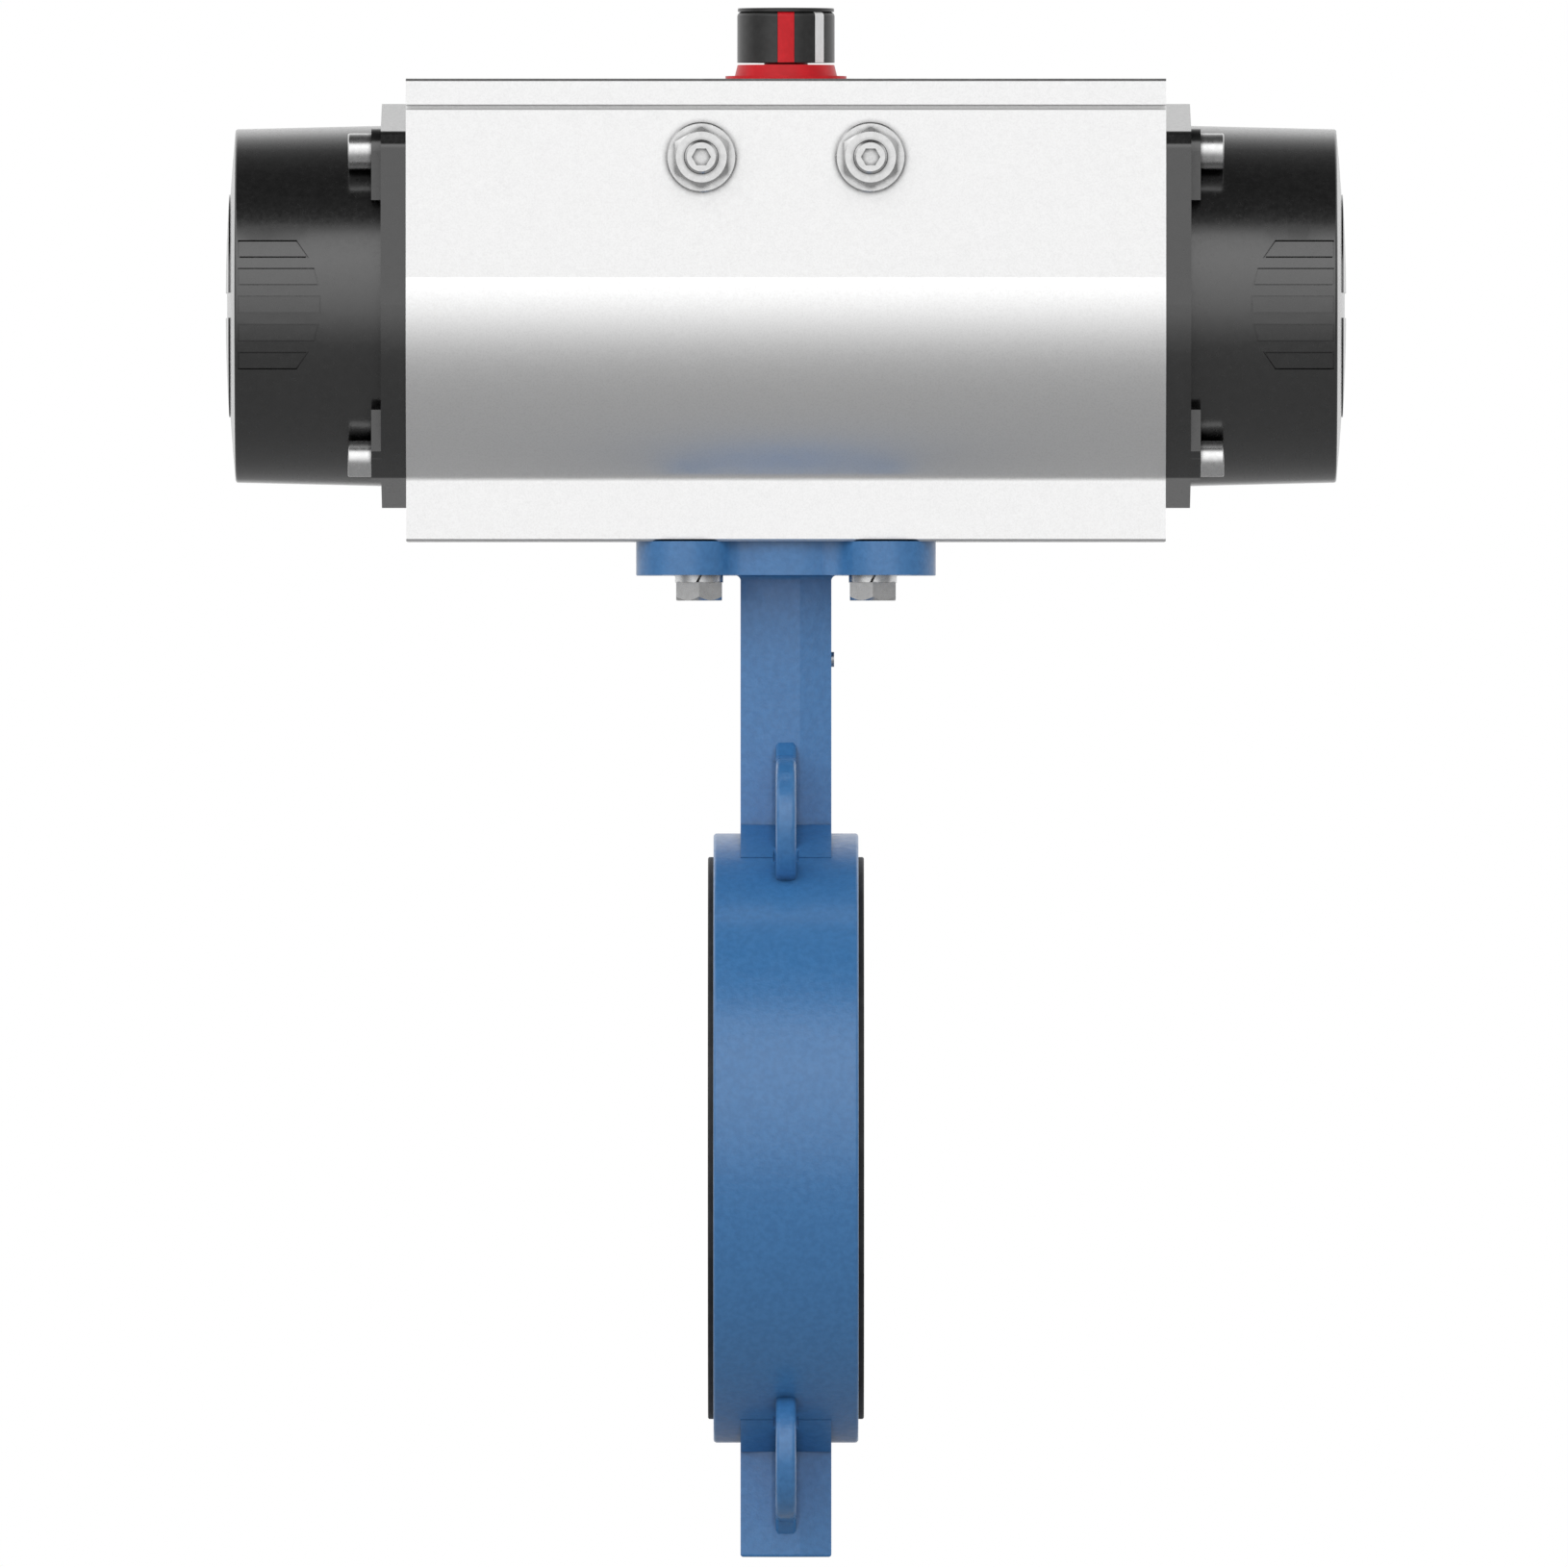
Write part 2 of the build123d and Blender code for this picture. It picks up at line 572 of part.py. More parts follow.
def make_pinion():
    teeth = Circle(ROOT_R)
    teeth += [Rot(0, 0, 360 / TEETH * i) * pinion_tooth() for i in range(TEETH)]
    pinion = extrude_z(teeth, BORE_Z - FACE_WIDTH / 2, BORE_Z + FACE_WIDTH / 2)
    pinion += rod_z(JOURNAL_R, PINION_FOOT, BORE_Z)
    pinion += rod_z(ROOT_R, LOW_SHOULDER + 3, BORE_Z)
    pinion += rod_z(ROOT_R - 2, BORE_Z, CAM_Z)
    pinion += rod_z(TOP_JOURNAL_R + 1, CAM_Z - 1, CAM_Z + CAM_T)
    pinion += rod_z(TOP_JOURNAL_R, CAM_Z, BODY_TOP - 0.4)
    pinion += rod_z(SHOULDER_R, BODY_TOP - 1, BODY_TOP + SHOULDER_UP)
    pinion += rod_z(SHAFT_R, BODY_TOP, SHAFT_TOP)
    pinion -= ring_z(JOURNAL_R - SEAL_DEEP, TIP_R + 9, PINION_FOOT + 4.4, PINION_FOOT + 8.1)
    pinion -= ring_z(TOP_JOURNAL_R - SEAL_DEEP, TIP_R + 9, CAM_Z + CAM_T + 3.0, CAM_Z + CAM_T + 6.6)
    pinion -= ring_z(TOP_JOURNAL_R - CLIP_DEEP, TIP_R + 9, THRUST_Z + 1.8, THRUST_Z + 3.2)
    half = STEM_SQUARE / 2 + RUNNING
    pinion -= block(-half, half, -half, half, PINION_FOOT - 1, STEM_TOP + 2)
    pinion -= rod_z(SCREW_R + SNUG, SHAFT_TOP - 14, SHAFT_TOP + 1)
    return pinion


def make_stop_cam():
    arm_face = STOP_TIP - 0.2
    shape = Circle(TOP_JOURNAL_R + 6)
    shape += Pos(CAM_R / 2, -arm_face + 7) * Rectangle(CAM_R, 14)
    shape += Pos(-arm_face + 7, CAM_R / 2) * Rectangle(14, CAM_R)
    shape = shape & Circle(CAM_R)
    shape -= Circle(TOP_JOURNAL_R + 1 + RUNNING)
    return extrude_z(shape, CAM_Z, CAM_Z + CAM_T)


def make_pinion_fittings():
    lower_bearing = ring_z(JOURNAL_R + RUNNING, LOW_BORE_R - RUNNING, PINION_FOOT + 10.5, LOW_SHOULDER - 0.5)
    save("pinion_lower_bearing", lower_bearing)
    top = CAM_Z + CAM_T + 7.2
    save("pinion_upper_bearing", ring_z(TOP_JOURNAL_R + RUNNING, TOP_BORE_R - RUNNING, top, THRUST_Z))
    low_seal = ring_z(JOURNAL_R - SEAL_DEEP + SNUG, LOW_BORE_R - LOOSE, PINION_FOOT + 4.5, PINION_FOOT + 8)
    seal_foot = CAM_Z + CAM_T + 3.1
    top_seal = ring_z(TOP_JOURNAL_R - SEAL_DEEP + SNUG, TOP_BORE_R - LOOSE, seal_foot, seal_foot + 3.4)
    save("pinion_seals", low_seal, top_seal)
    save("thrust_washer", ring_z(TOP_JOURNAL_R + LOOSE, COUNTERBORE_R - 0.4, THRUST_Z, THRUST_Z + 1.6))
    circlip = ring_z(TOP_JOURNAL_R - CLIP_DEEP + SNUG, TOP_JOURNAL_R + 3, THRUST_Z + 1.9, THRUST_Z + 3.1)
    circlip -= block(-3, 3, 5, 25, THRUST_Z, BODY_TOP)
    save("pinion_circlip", circlip)


# ---- pistons, drawn for the left one: head at -X, rack at +Y reaching past the pinion to +X

PISTON_R = BORE_R - LOOSE
LEG_BACK_R = PISTON_R - RACK_PAD_T
RACK_PITCH = math.pi * MODULE
RACK_ADDENDUM = 2.7
RACK_ROOT_Y = PITCH_R + 1.25 * MODULE
RACK_TIP_Y = PITCH_R - RACK_ADDENDUM
BAND_X = (57.0, 65.0)
SEAL_X = (70.0, 74.4)
GROOVE_FLOOR = PISTON_R - 3.0
PAD_X = (6.0, 38.0)


def rack_profile():
    half = (RACK_PITCH / 2 - BACKLASH) / 2
    at_tip = half - RACK_ADDENDUM * math.tan(PRESSURE)
    at_root = half + (RACK_ROOT_Y - PITCH_R) * math.tan(PRESSURE)
    points = [(-HEAD_IN, BORE_R), (-HEAD_IN, RACK_ROOT_Y)]
    first = -2
    while (first + 0.5) * RACK_PITCH + at_root < LEG_TIP:
        centre = (first + 0.5) * RACK_PITCH
        points += [(centre - at_root, RACK_ROOT_Y), (centre - at_tip, RACK_TIP_Y)]
        points += [(centre + at_tip, RACK_TIP_Y), (centre + at_root, RACK_ROOT_Y)]
        first += 1
    return outline(*points, (LEG_TIP, RACK_ROOT_Y), (LEG_TIP, BORE_R))


def make_left_piston():
    head = rod_x(PISTON_R, -HEAD_OUT, -HEAD_IN, 0, BORE_Z)
    head -= ring_x(GROOVE_FLOOR, PISTON_R + 5, -BAND_X[1], -BAND_X[0], BORE_Z)
    head -= ring_x(GROOVE_FLOOR, PISTON_R + 5, -SEAL_X[1], -SEAL_X[0], BORE_Z)
    leg = extrude_z(rack_profile(), BORE_Z - RACK_HALF_H, BORE_Z + RACK_HALF_H)
    leg = leg & rod_x(PISTON_R, -HEAD_IN - 1, LEG_TIP + 1, 0, BORE_Z)
    back = ring_x(LEG_BACK_R, PISTON_R + 5, PAD_X[0], PAD_X[1], BORE_Z)
    pad_cut = back & block(PAD_X[0], PAD_X[1], 0, 80, BORE_Z - RACK_HALF_H - 1, BORE_Z + RACK_HALF_H + 1)
    spigots = [rod_x(6, -HEAD_OUT, -HEAD_OUT - 8, *spot) for spot in spring_spots()]
    return head + leg - pad_cut + spigots


def spring_spots():
    turn = [math.radians(90 + 360 / SPRING_COUNT * i) for i in range(SPRING_COUNT)]
    return [(SPRING_CIRCLE * math.cos(a), BORE_Z + SPRING_CIRCLE * math.sin(a)) for a in turn]


def half_turn(shape):
    return Rot(0, 0, 180) * shape


def save_pair(name, *left):
    save("left_" + name, *left)
    save("right_" + name, *[half_turn(s) for s in left])


def make_pistons():
    save_pair("piston", make_left_piston())
    save_pair("piston_band", ring_x(GROOVE_FLOOR + 0.05, PISTON_R, -BAND_X[1] + 0.1, -BAND_X[0] - 0.1, BORE_Z))
    save_pair("piston_seal", ring_x(GROOVE_FLOOR + 0.05, PISTON_R, -SEAL_X[1] + 0.2, -SEAL_X[0] - 0.2, BORE_Z))
    pad = ring_x(LEG_BACK_R + 0.05, PISTON_R, PAD_X[0] + 0.2, PAD_X[1] - 0.2, BORE_Z)
    half = RACK_HALF_H - 2
    pad = pad & block(PAD_X[0], PAD_X[1], 0, 80, BORE_Z - half, BORE_Z + half)
    save_pair("rack_pad", pad)


# ---- springs, seated on the piston's spigots and in the retainer at the cap's floor

SPRING_LENGTH = SPRING_FLOOR - 3.0 - HEAD_OUT


def coil(x0, length):
    wire = WIRE_D / 2
    path = Helix((length - WIRE_D) / SPRING_TURNS, length - WIRE_D, SPRING_R)
    section = Plane(origin=path @ 0, z_dir=path % 0) * Circle(wire)
    spring = sweep(section, path, is_frenet=True)
    return Pos(x0 + wire, 0, 0) * Rot(0, 90, 0) * spring


def make_springs():
    one = coil(-HEAD_OUT - SPRING_LENGTH, SPRING_LENGTH)
    save_pair("springs", *[Pos(0, y, z) * one for y, z in spring_spots()])
    plate = rod_x(SPRING_CIRCLE + SPRING_R + 5, -SPRING_FLOOR, -SPRING_FLOOR + 3, 0, BORE_Z)
    plate -= rod_x(14, -SPRING_FLOOR - 1, -SPRING_FLOOR + 4, 0, BORE_Z)
    plate += [rod_x(6, -SPRING_FLOOR + 2, -SPRING_FLOOR + 11, y, z) for y, z in spring_spots()]
    save_pair("spring_retainer", plate)


# ---- end caps, drawn about the bore axis for the +X end

SEAT_END = PLATE_END + SCREW_SEAT
# each grip's height over the axis, length and slant
GRIPS = ((-20, 26.7, -4.4), (-10, 30.5, -1.9), (0, 31.0, 0), (10, 30.5, 1.9), (20, 26.7, 4.4))
GRIP_START = 1.2
GRIP_W = 6.4
GRIP_DEPTH = 0.9
GRIP_LINE = 0.55
SCREW_HOLE_R = 4.2


def plate_section():
    # roofed above and below, straight sided above the bore axis and round below it
    shoulder_y = PLATE_HALF_W - 3
    foot_y = math.sqrt(PLATE_HALF_W ** 2 - PLATE_SHOULDER ** 2)
    turn = math.asin(PLATE_SHOULDER / PLATE_HALF_W) / 2
    halfway = (PLATE_HALF_W * math.cos(turn), -PLATE_HALF_W * math.sin(turn))
    with BuildSketch() as sketch:
        with BuildLine():
            for side in (1, -1):
                Line((0, PLATE_HALF_H), (side * shoulder_y, PLATE_SHOULDER))
                Line((side * shoulder_y, PLATE_SHOULDER), (side * PLATE_HALF_W, PLATE_SHOULDER - 5))
                Line((side * PLATE_HALF_W, PLATE_SHOULDER - 5), (side * PLATE_HALF_W, 0))
                widest = (side * PLATE_HALF_W, 0)
                ThreePointArc(widest, (side * halfway[0], halfway[1]), (side * foot_y, -PLATE_SHOULDER))
                Line((side * foot_y, -PLATE_SHOULDER), (0, -PLATE_HALF_H))
        make_face()
        fillet([v for v in sketch.vertices() if abs(v.X) > 30 and abs(v.Y) > 20], 3.0)
    return sketch.sketch


def cap_core():
    top = CAP_END + CAP_RISE
    half_sag = math.sqrt(CAP_R_OUT ** 2 / 4)
    sag = CAP_RISE - (DOME_R - math.sqrt(DOME_R ** 2 - half_sag ** 2))
    with BuildSketch(Plane.XZ) as sketch:
        with BuildLine():
            Line((PLATE_END - 2, 0), (PLATE_END - 2, CAP_R_IN))
            Line((PLATE_END - 2, CAP_R_IN), (CAP_END, CAP_R_OUT))
            ThreePointArc((CAP_END, CAP_R_OUT), (CAP_END + sag, half_sag), (top, 0))
            Line((top, 0), (PLATE_END - 2, 0))
        make_face()
    core = revolve(sketch.sketch, Axis.X, 360)
    return round_edges(core, 1.0, lambda e: is_circle(e, CAP_R_OUT))


def grip_cuts():
    # the outlines of bars across the cap, cut down to the cone that is left under them
    floor = Plane.XZ * outline(
        (PLATE_END, CAP_R_IN - GRIP_DEPTH), (CAP_END, CAP_R_OUT - GRIP_DEPTH), (CAP_END, 0), (PLATE_END, 0))
    cone = revolve(floor, Axis.X, 360)
    cuts = []
    for up, length, slant in GRIPS:
        low, high = up - GRIP_W / 2, up + GRIP_W / 2
        start, end = CAP_END - GRIP_START, CAP_END - length
        upper, lower = (end + max(slant, 0), high), (end - min(slant, 0), low)
        bar = outline((start, low), (start, high), upper, lower)
        line = Plane.XZ * (bar - offset(bar, -GRIP_LINE))
        cuts.append(Pos(0, CAP_R_IN, 0) * extrude(line, 2 * CAP_R_IN) - cone)
    return cuts


def make_cap(side):
    spots = [(sy * CAP_SCREW_Y, sz * CAP_SCREW_UP) for sy, sz in QUARTERS]
    cap = extrude_x(plate_section(), BODY_HALF, PLATE_END)
    cap += cap_core()
    raised = Pos(CAP_END + CAP_RISE - DOME_R, 0, 0) * Rot(0, 0, 180) * Sphere(DOME_R + PAD_PROUD)
    pads = rod_x(PAD_R, CAP_END - 2, CAP_END + CAP_RISE + PAD_PROUD + 1) & raised
    pads -= block(CAP_END - 3, CAP_END + 9, -PAD_R - 1, PAD_R + 1, -PAD_GAP / 2, PAD_GAP / 2)
    cap += pads
    for sy, sz in QUARTERS:
        y, z = sy * CAP_SCREW_Y, sz * CAP_SCREW_UP
        seat = rod_x(8.4, PLATE_END - 1, SEAT_END, y, z)
        seat += block(PLATE_END - 1, SEAT_END, sy * 40, sy * 57, sz * 37.6, sz * CAP_SCREW_UP)
        seat = seat & extrude_x(plate_section(), PLATE_END - 1, SEAT_END)
        cap += seat
    cap += rod_x(BORE_R - 0.2, SPIGOT_IN, BODY_HALF + 1)
    cap -= ring_x(BORE_R - 3.2, BORE_R + 2, SPIGOT_IN + 4, SPIGOT_IN + 8)
    cap -= rod_x(CAVITY_R, SPIGOT_IN - 1, SPRING_FLOOR)
    cap -= grip_cuts()
    for y, z in spots:
        cap -= rod_x(SCREW_HOLE_R, BODY_HALF - 1, SEAT_END + 1, y, z)
    cap = Pos(0, 0, BORE_Z) * Rot(0, 0, 0 if side > 0 else 180) * cap
    gallery_y, gallery_z = GALLERY
    cap -= rod_x(GALLERY_R, side * (BODY_HALF - 1), side * (BODY_HALF + 5), gallery_y, gallery_z)
    reach = math.hypot(gallery_y, gallery_z - BORE_Z)
    angle = math.degrees(math.atan2(gallery_z - BORE_Z, gallery_y))
    drill = Pos(side * (BODY_HALF + 4.5), 0, BORE_Z) * Rot(angle, 0, 0) * rod_y(2, CAVITY_R - 3, reach)
    return cap - drill


def make_caps():
    save("left_end_cap", make_cap(-1))
    save("right_end_cap", make_cap(1))
    seal = ring_x(BORE_R - 3.1, BORE_R - 0.15, -SPIGOT_IN - 7.8, -SPIGOT_IN - 4.2, BORE_Z)
    save_pair("cap_seal", seal)
    screws = [cap_screw(y, z) for y, z in CAP_SCREWS]
    save_pair("cap_screws", *screws)


def cap_screw(y, z):
    head = rod_x(6.5, -SEAT_END, -SEAT_END - 8.4, y, z)
    head = round_edges(head, 0.6, lambda e: abs(e.center().X + SEAT_END + 8.4) < 0.01)
    socket = extrude_x(Pos(y, z) * hexagon(6), -SEAT_END - 9, -SEAT_END - 4)
    return head - socket + rod_x(4, -SEAT_END, -BODY_HALF + 20, y, z)


# ---- stop screws on the front

WASHER_R = 12.6
STOP_WASHER_T = 2.5
NUT_AF = 19.0
NUT_T = 10.0
NUT_CROWN_R = 9.1


def make_stops():
    washer_out = -BODY_HALF_W - STOP_WASHER_T
    nut_out = washer_out - NUT_T
    end = nut_out - 5.0
    screws, nuts, washers = [], [], []
    for x in (STOP_X, -STOP_X):
        front = Plane(origin=(x, 0, STOP_Z), x_dir=(1, 0, 0), z_dir=(0, -1, 0))
        screw = rod_y(6, end, -STOP_TIP, x, STOP_Z)
        screw = chamfer([e for e in screw.edges() if abs(e.center().Y - end) < 0.01], 0.8)
        socket = extrude(front.offset(-end - 6) * hexagon(6), 8)
        screws.append(screw - socket)
        washer = rod_y(WASHER_R, washer_out, -BODY_HALF_W, x, STOP_Z)
        washer = chamfer([e for e in washer.edges() if abs(e.center().Y - washer_out) < 0.01], 0.5)
        washers.append(washer - rod_y(6.2, washer_out - 9, -BODY_HALF_W / 2, x, STOP_Z))
        blank = extrude(front.offset(-washer_out) * Rot(0, 0, 30) * hexagon(NUT_AF), NUT_T)
        foot = NUT_CROWN_R + NUT_T * math.sqrt(3)
        crown = front.offset(-washer_out) * Cone(foot, NUT_CROWN_R, NUT_T, align=STANDING)
        nuts.append((blank & crown) - rod_y(6.2, nut_out - 9, -BODY_HALF_W, x, STOP_Z))
    save("stop_screws", *screws)
    save("stop_nuts", *nuts)
    save("stop_washers", *washers)


# ---- indicator

SHELL_Z = IND_CONE_Z + IND_GAP
SHELL_IN = 14.8
HEAD_R = 5.0
HEAD_SEAT = SHAFT_TOP + 3


def stripe(width, angle, r_in, r_out, z0, z1):
    bars = block(-width / 2, width / 2, -r_out - 5, -r_in, z0, z1)
    bars += block(-width / 2, width / 2, r_in, r_out + 5, z0, z1)
    return Rot(0, 0, angle) * (bars & rod_z(r_out, z0, z1))


def shell_solid():
    shell = rod_z(IND_R, SHELL_Z, IND_SHELL_TOP)
    return round_edges(shell, 1.7, lambda e: is_circle(e, IND_R) and abs(e.center().Z - IND_SHELL_TOP) < 0.01)


def make_indicator():
    flange = rod_z(IND_FLANGE_R, BODY_TOP + 0.2, BODY_TOP + 1.7)
    cone = Pos(0, 0, BODY_TOP + 1.5) * Cone(
        IND_CONE_LOW, IND_CONE_TOP, IND_CONE_Z - BODY_TOP - 1.5, align=STANDING)
    core = flange + cone + rod_z(IND_HUB_R, IND_CONE_Z - 1, SHELL_Z + 1)
    core += rod_z(SHELL_IN - 0.2, SHELL_Z, IND_SHELL_TOP)
    outer = shell_solid()
    core += stripe(RED_W, 0, 10, IND_R, SHELL_Z, IND_SHELL_TOP) & outer
    white = stripe(WHITE_W, WHITE_ANGLE, SHELL_IN - 0.1, IND_R, SHELL_Z, IND_SHELL_TOP)
    white = white & (outer - rod_z(SHELL_IN - 0.1, SHELL_Z - 1, IND_TOP))
    core -= rod_z(SHOULDER_R + SNUG, BODY_TOP - 1, BODY_TOP + SHOULDER_UP + SNUG)
    core -= rod_z(SHAFT_R + SNUG, BODY_TOP, SHAFT_TOP + LOOSE)
    core -= rod_z(SCREW_R + 2 * SNUG, SHAFT_TOP - 1, IND_TOP)
    core -= rod_z(HEAD_R + 2 * SNUG, HEAD_SEAT, IND_TOP)
    save("indicator_core", core)
    save("indicator_inserts", *[s for s in white.solids()])
    shell = outer - rod_z(SHELL_IN, SHELL_Z - 1, IND_TOP)
    shell -= stripe(RED_W + 0.2, 0, 10, IND_R + 2, SHELL_Z - 1, IND_SHELL_TOP + 1)
    shell -= stripe(WHITE_W + 0.1, WHITE_ANGLE, 10, IND_R + 2, SHELL_Z - 1, IND_SHELL_TOP + 1)
    save("indicator_shell", *shell.solids())
    lid = rod_z(IND_R - 0.2, IND_SHELL_TOP, IND_TOP)
    lid = round_edges(lid, 0.4, lambda e: abs(e.center().Z - IND_TOP) < 0.01)
    save("indicator_lid", lid)
    screw = rod_z(HEAD_R, HEAD_SEAT, HEAD_SEAT + 3.5) + rod_z(SCREW_R, SHAFT_TOP - 12, HEAD_SEAT + 0.5)
    save("indicator_screw", screw - extrude_z(hexagon(4), HEAD_SEAT + 1, HEAD_SEAT + 4))


save("valve_body", make_valve_body())
save("seat_liner", make_seat_liner())
save("disc", make_disc())
save("upper_stem", make_upper_stem())
save("lower_stem", make_lower_stem())
make_valve_fittings()
make_flange_fasteners()
save("actuator_body", make_actuator_body())
save("pinion", make_pinion())
save("stop_cam", make_stop_cam())
make_pinion_fittings()
make_pistons()
make_springs()
make_caps()
make_stops()
make_indicator()
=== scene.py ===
import bpy
import bmesh
import math
from mathutils import Matrix, Vector


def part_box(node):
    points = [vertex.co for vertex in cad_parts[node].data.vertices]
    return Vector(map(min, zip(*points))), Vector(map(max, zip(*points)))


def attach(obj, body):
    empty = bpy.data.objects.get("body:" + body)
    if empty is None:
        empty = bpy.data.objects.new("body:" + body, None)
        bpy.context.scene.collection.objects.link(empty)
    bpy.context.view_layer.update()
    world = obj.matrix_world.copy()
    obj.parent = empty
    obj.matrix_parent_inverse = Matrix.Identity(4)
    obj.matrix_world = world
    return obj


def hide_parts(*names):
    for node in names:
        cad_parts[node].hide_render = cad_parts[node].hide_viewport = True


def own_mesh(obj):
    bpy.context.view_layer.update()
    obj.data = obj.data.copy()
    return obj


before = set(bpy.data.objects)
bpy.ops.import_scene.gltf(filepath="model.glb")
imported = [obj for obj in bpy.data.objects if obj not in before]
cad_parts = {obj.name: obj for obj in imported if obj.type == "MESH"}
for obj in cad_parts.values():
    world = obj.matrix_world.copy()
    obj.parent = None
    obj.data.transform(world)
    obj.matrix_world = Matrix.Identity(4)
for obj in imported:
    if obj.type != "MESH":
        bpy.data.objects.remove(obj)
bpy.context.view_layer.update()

# ---------------------------------------------------------------- studio
# The valve hangs as it would between two pipe flanges, over a plain pale floor. A long lens
# looks straight at the side with the stop screws, and a broad soft panel lights it from the front.

VIEW_WIDTH = 0.5635
VIEW_CENTRE = (-0.0007, 0.0, 0.1274)
CAMERA_BACK = 24.0
FLOOR_Z = -0.40
FLOOR_HALF = 1.6

lens = bpy.data.cameras.new("camera")
lens.sensor_width = 36.0
lens.lens = 36.0 * CAMERA_BACK / VIEW_WIDTH
lens.clip_end = 60.0
camera = bpy.data.objects.new("camera", lens)
camera.location = (VIEW_CENTRE[0], -CAMERA_BACK, VIEW_CENTRE[2])
camera.rotation_euler = (math.radians(90), 0, 0)
bpy.context.collection.objects.link(camera)
bpy.context.scene.camera = camera
bpy.context.scene.view_settings.view_transform = "Standard"


def ramp_of(nodes, stops):
    ramp = nodes.new("ShaderNodeValToRGB")
    while len(ramp.color_ramp.elements) < len(stops):
        ramp.color_ramp.elements.new(0.5)
    for element, (place, colour) in zip(ramp.color_ramp.elements, stops):
        element.position = place
        element.color = (*colour, 1.0) if len(colour) == 3 else colour
    return ramp


def grey(level):
    return (level, level, level)


def light_studio():
    world = bpy.data.worlds.new("studio")
    bpy.context.scene.world = world
    world.use_nodes = True
    nodes, links = world.node_tree.nodes, world.node_tree.links
    nodes.clear()
    out = nodes.new("ShaderNodeOutputWorld")
    where = nodes.new("ShaderNodeTexCoord")
    split = nodes.new("ShaderNodeSeparateXYZ")
    links.new(where.outputs["Generated"], split.inputs[0])
    height = nodes.new("ShaderNodeMapRange")
    height.inputs["From Min"].default_value = -1.0
    links.new(split.outputs["Z"], height.inputs["Value"])
    # from straight down (0) by the horizon (0.5) to straight up (1), as the sine of the height
    front = ramp_of(nodes, [
        (0.0, grey(0.34)), (0.19, grey(0.44)), (0.33, grey(0.46)), (0.50, grey(1.10)),
        (0.62, grey(1.35)), (0.75, grey(1.6)), (0.855, grey(1.5)),
        (0.91, grey(0.08)), (1.0, grey(0.05)),
    ])
    back = ramp_of(nodes, [
        (0.0, grey(0.25)), (0.30, grey(0.35)), (0.45, grey(0.9)),
        (0.75, grey(1.1)), (0.93, grey(0.2)), (1.0, grey(0.06)),
    ])
    links.new(height.outputs["Result"], front.inputs["Fac"])
    links.new(height.outputs["Result"], back.inputs["Fac"])
    # the front panel's edges, as the direction's share along X
    edges = nodes.new("ShaderNodeMapRange")
    edges.inputs["From Min"].default_value = -1.0
    links.new(split.outputs["X"], edges.inputs["Value"])
    window = ramp_of(nodes, [
        (0.0, grey(0.35)), (0.06, grey(0.4)), (0.20, grey(1.0)),
        (0.62, grey(1.0)), (0.78, grey(0.42)), (1.0, grey(0.3)),
    ])
    links.new(edges.outputs["Result"], window.inputs["Fac"])
    panel = nodes.new("ShaderNodeMix")
    panel.data_type = "RGBA"
    panel.blend_type = "MULTIPLY"
    panel.inputs["Factor"].default_value = 1.0
    links.new(front.outputs["Color"], panel.inputs["A"])
    links.new(window.outputs["Color"], panel.inputs["B"])
    side = nodes.new("ShaderNodeMapRange")
    side.inputs["From Min"].default_value = -0.15
    side.inputs["From Max"].default_value = 0.25
    links.new(split.outputs["Y"], side.inputs["Value"])
    mix = nodes.new("ShaderNodeMix")
    mix.data_type = "RGBA"
    links.new(side.outputs["Result"], mix.inputs["Factor"])
    links.new(panel.outputs["Result"], mix.inputs["A"])
    links.new(back.outputs["Color"], mix.inputs["B"])
    lit = nodes.new("ShaderNodeBackground")
    links.new(mix.outputs["Result"], lit.inputs["Color"])
    seen = nodes.new("ShaderNodeBackground")
    path = nodes.new("ShaderNodeLightPath")
    choose = nodes.new("ShaderNodeMixShader")
    links.new(path.outputs["Is Camera Ray"], choose.inputs["Fac"])
    links.new(lit.outputs[0], choose.inputs[1])
    links.new(seen.outputs[0], choose.inputs[2])
    links.new(choose.outputs[0], out.inputs["Surface"])
    seen.inputs["Color"].default_value = (1, 1, 1, 1)


light_studio()


def new_object(name, mesh):
    piece = bpy.data.objects.new(name, mesh)
    bpy.context.collection.objects.link(piece)
    return piece


def new_finish(name, colour, roughness, metallic=0.0):
    material = bpy.data.materials.new(name)
    material.use_nodes = True
    shader = material.node_tree.nodes["Principled BSDF"]
    shader.inputs["Base Color"].default_value = (*colour, 1.0)
    shader.inputs["Roughness"].default_value = roughness
    shader.inputs["Metallic"].default_value = metallic
    return material


def shader_of(material):
    return material.node_tree.nodes["Principled BSDF"]


floor_mesh = bpy.data.meshes.new("floor")
bm = bmesh.new()
bmesh.ops.create_grid(bm, x_segments=1, y_segments=1, size=FLOOR_HALF)
bmesh.ops.translate(bm, verts=bm.verts, vec=(0, 0, FLOOR_Z))
bm.to_mesh(floor_mesh)
bm.free()
floor = new_object("floor", floor_mesh)
floor_finish = new_finish("pale_floor", grey(0.75), 0.8)
floor_nodes, floor_links = floor_finish.node_tree.nodes, floor_finish.node_tree.links
floor_seen = floor_nodes.new("ShaderNodeLightPath")
floor_tone = ramp_of(floor_nodes, [(0.0, grey(0.49)), (1.0, grey(0.75))])
floor_links.new(floor_seen.outputs["Is Camera Ray"], floor_tone.inputs["Fac"])
floor_links.new(floor_tone.outputs["Color"], shader_of(floor_finish).inputs["Base Color"])
floor.data.materials.append(floor_finish)

